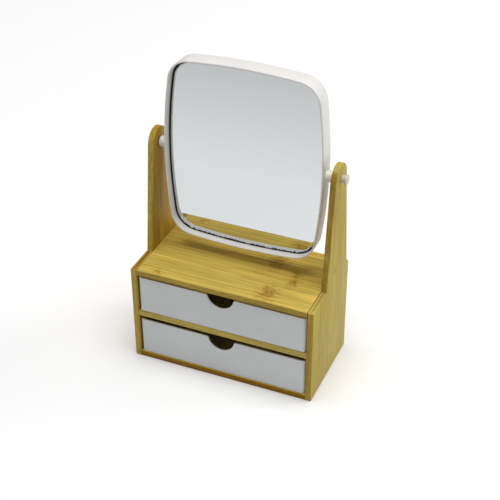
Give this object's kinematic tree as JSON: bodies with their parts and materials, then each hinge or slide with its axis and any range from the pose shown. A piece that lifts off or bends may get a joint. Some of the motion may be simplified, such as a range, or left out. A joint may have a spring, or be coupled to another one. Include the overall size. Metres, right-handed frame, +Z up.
{
  "type": "makeup mirror with drawers",
  "caption": "Tabletop makeup mirror that tilts between tapered bamboo uprights, above a small bamboo cabinet with white pull-out drawers that have finger notches.",
  "frame": {"origin": "centre of the object's footprint, on the table", "axes": "+Z up; -Y is the front, where the drawers pull out; +X to the right as seen from the front"},
  "size_m": [0.2315, 0.113, 0.3598],
  "materials": {
    "bamboo_panel": "satin lacquer",
    "bamboo_shelf": "satin lacquer",
    "bamboo_board": "satin lacquer",
    "plywood": "matte",
    "beech": "matte",
    "drawer_plastic": "satin",
    "frame_plastic": "satin",
    "mirror_glass": "polished",
    "foam_tape": "matte",
    "pin_plastic": "satin",
    "washer_rubber": "matte"
  },
  "bodies": {
    "cabinet": {"left_side_panel": "bamboo_panel", "right_side_panel": "bamboo_panel", "top_board": "bamboo_shelf", "divider_board": "bamboo_board", "bottom_board": "bamboo_board", "back_panel": "plywood", "top_board_dowels": "beech", "divider_board_dowels": "beech", "bottom_board_dowels": "beech"},
    "upper_drawer": {"upper_drawer": "drawer_plastic"},
    "lower_drawer": {"lower_drawer": "drawer_plastic"},
    "mirror": {"mirror_frame": "frame_plastic", "mirror_glass": "mirror_glass", "glass_pads": "foam_tape", "left_pivot_pin": "pin_plastic", "right_pivot_pin": "pin_plastic", "left_friction_washer": "washer_rubber", "right_friction_washer": "washer_rubber"}
  },
  "joints": [
    {"name": "upper_drawer_slide", "type": "slide", "parent": "cabinet", "child": "upper_drawer", "axis": [0, -1, 0], "range_m": [0, 0.09]},
    {"name": "lower_drawer_slide", "type": "slide", "parent": "cabinet", "child": "lower_drawer", "axis": [0, -1, 0], "range_m": [0, 0.09]},
    {"name": "mirror_tilt", "type": "hinge", "parent": "cabinet", "child": "mirror", "pos_m": [0, 0.0175, 0.25], "axis": [1, 0, 0], "continuous": true}
  ]
}
